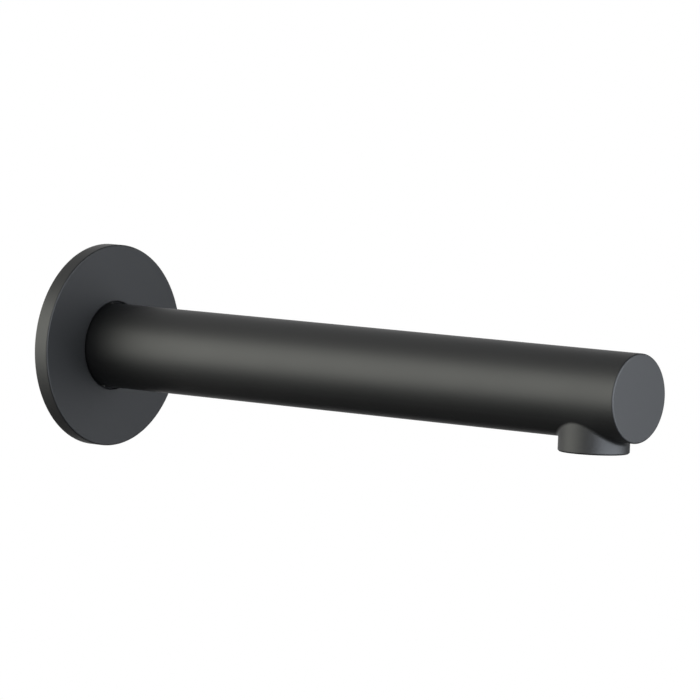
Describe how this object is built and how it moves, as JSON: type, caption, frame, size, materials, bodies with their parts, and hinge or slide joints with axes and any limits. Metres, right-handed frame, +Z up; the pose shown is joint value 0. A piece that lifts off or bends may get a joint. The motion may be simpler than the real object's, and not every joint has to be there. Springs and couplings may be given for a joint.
{
  "type": "bath spout",
  "caption": "Wall-mounted bath spout: a straight round tube with a flat tip, a short round outlet under the tip, a thin round wall flange and a threaded inlet nipple.",
  "frame": {"origin": "where the spout's axis meets the face of the finished wall, which is also the root of the inlet thread", "axes": "+Y along the spout's axis into the wall, so the tip faces -Y; +Z up, so the outlet faces -Z; +X across the spout"},
  "size_m": [0.0762, 0.264, 0.0762],
  "materials": {
    "black_coat": "matt black coat with a faint metallic sheen",
    "plain_brass": "turned",
    "black_rubber": "matt",
    "foam": "closed-cell foam, cut from sheet",
    "dark_plastic": "moulded acetal, fine grain",
    "pale_plastic": "moulded acetal",
    "steel": "stainless, drawn"
  },
  "bodies": {
    "root": {"spout_tube": "black_coat", "tip_cap": "black_coat", "outlet_boss": "black_coat", "inlet_bush": "plain_brass", "wall_nipple": "plain_brass", "front_o_ring": "black_rubber", "rear_o_ring": "black_rubber", "inlet_seal": "black_rubber", "grub_screw": "steel", "wall_flange": "black_coat", "grip_ring": "black_rubber", "wall_gasket": "foam", "aerator_housing": "black_coat", "stream_former": "dark_plastic", "lower_screen": "steel", "screen_spacer": "pale_plastic", "upper_screen": "steel", "jet_plate": "pale_plastic", "inlet_strainer": "pale_plastic", "aerator_washer": "black_rubber"}
  },
  "joints": []
}
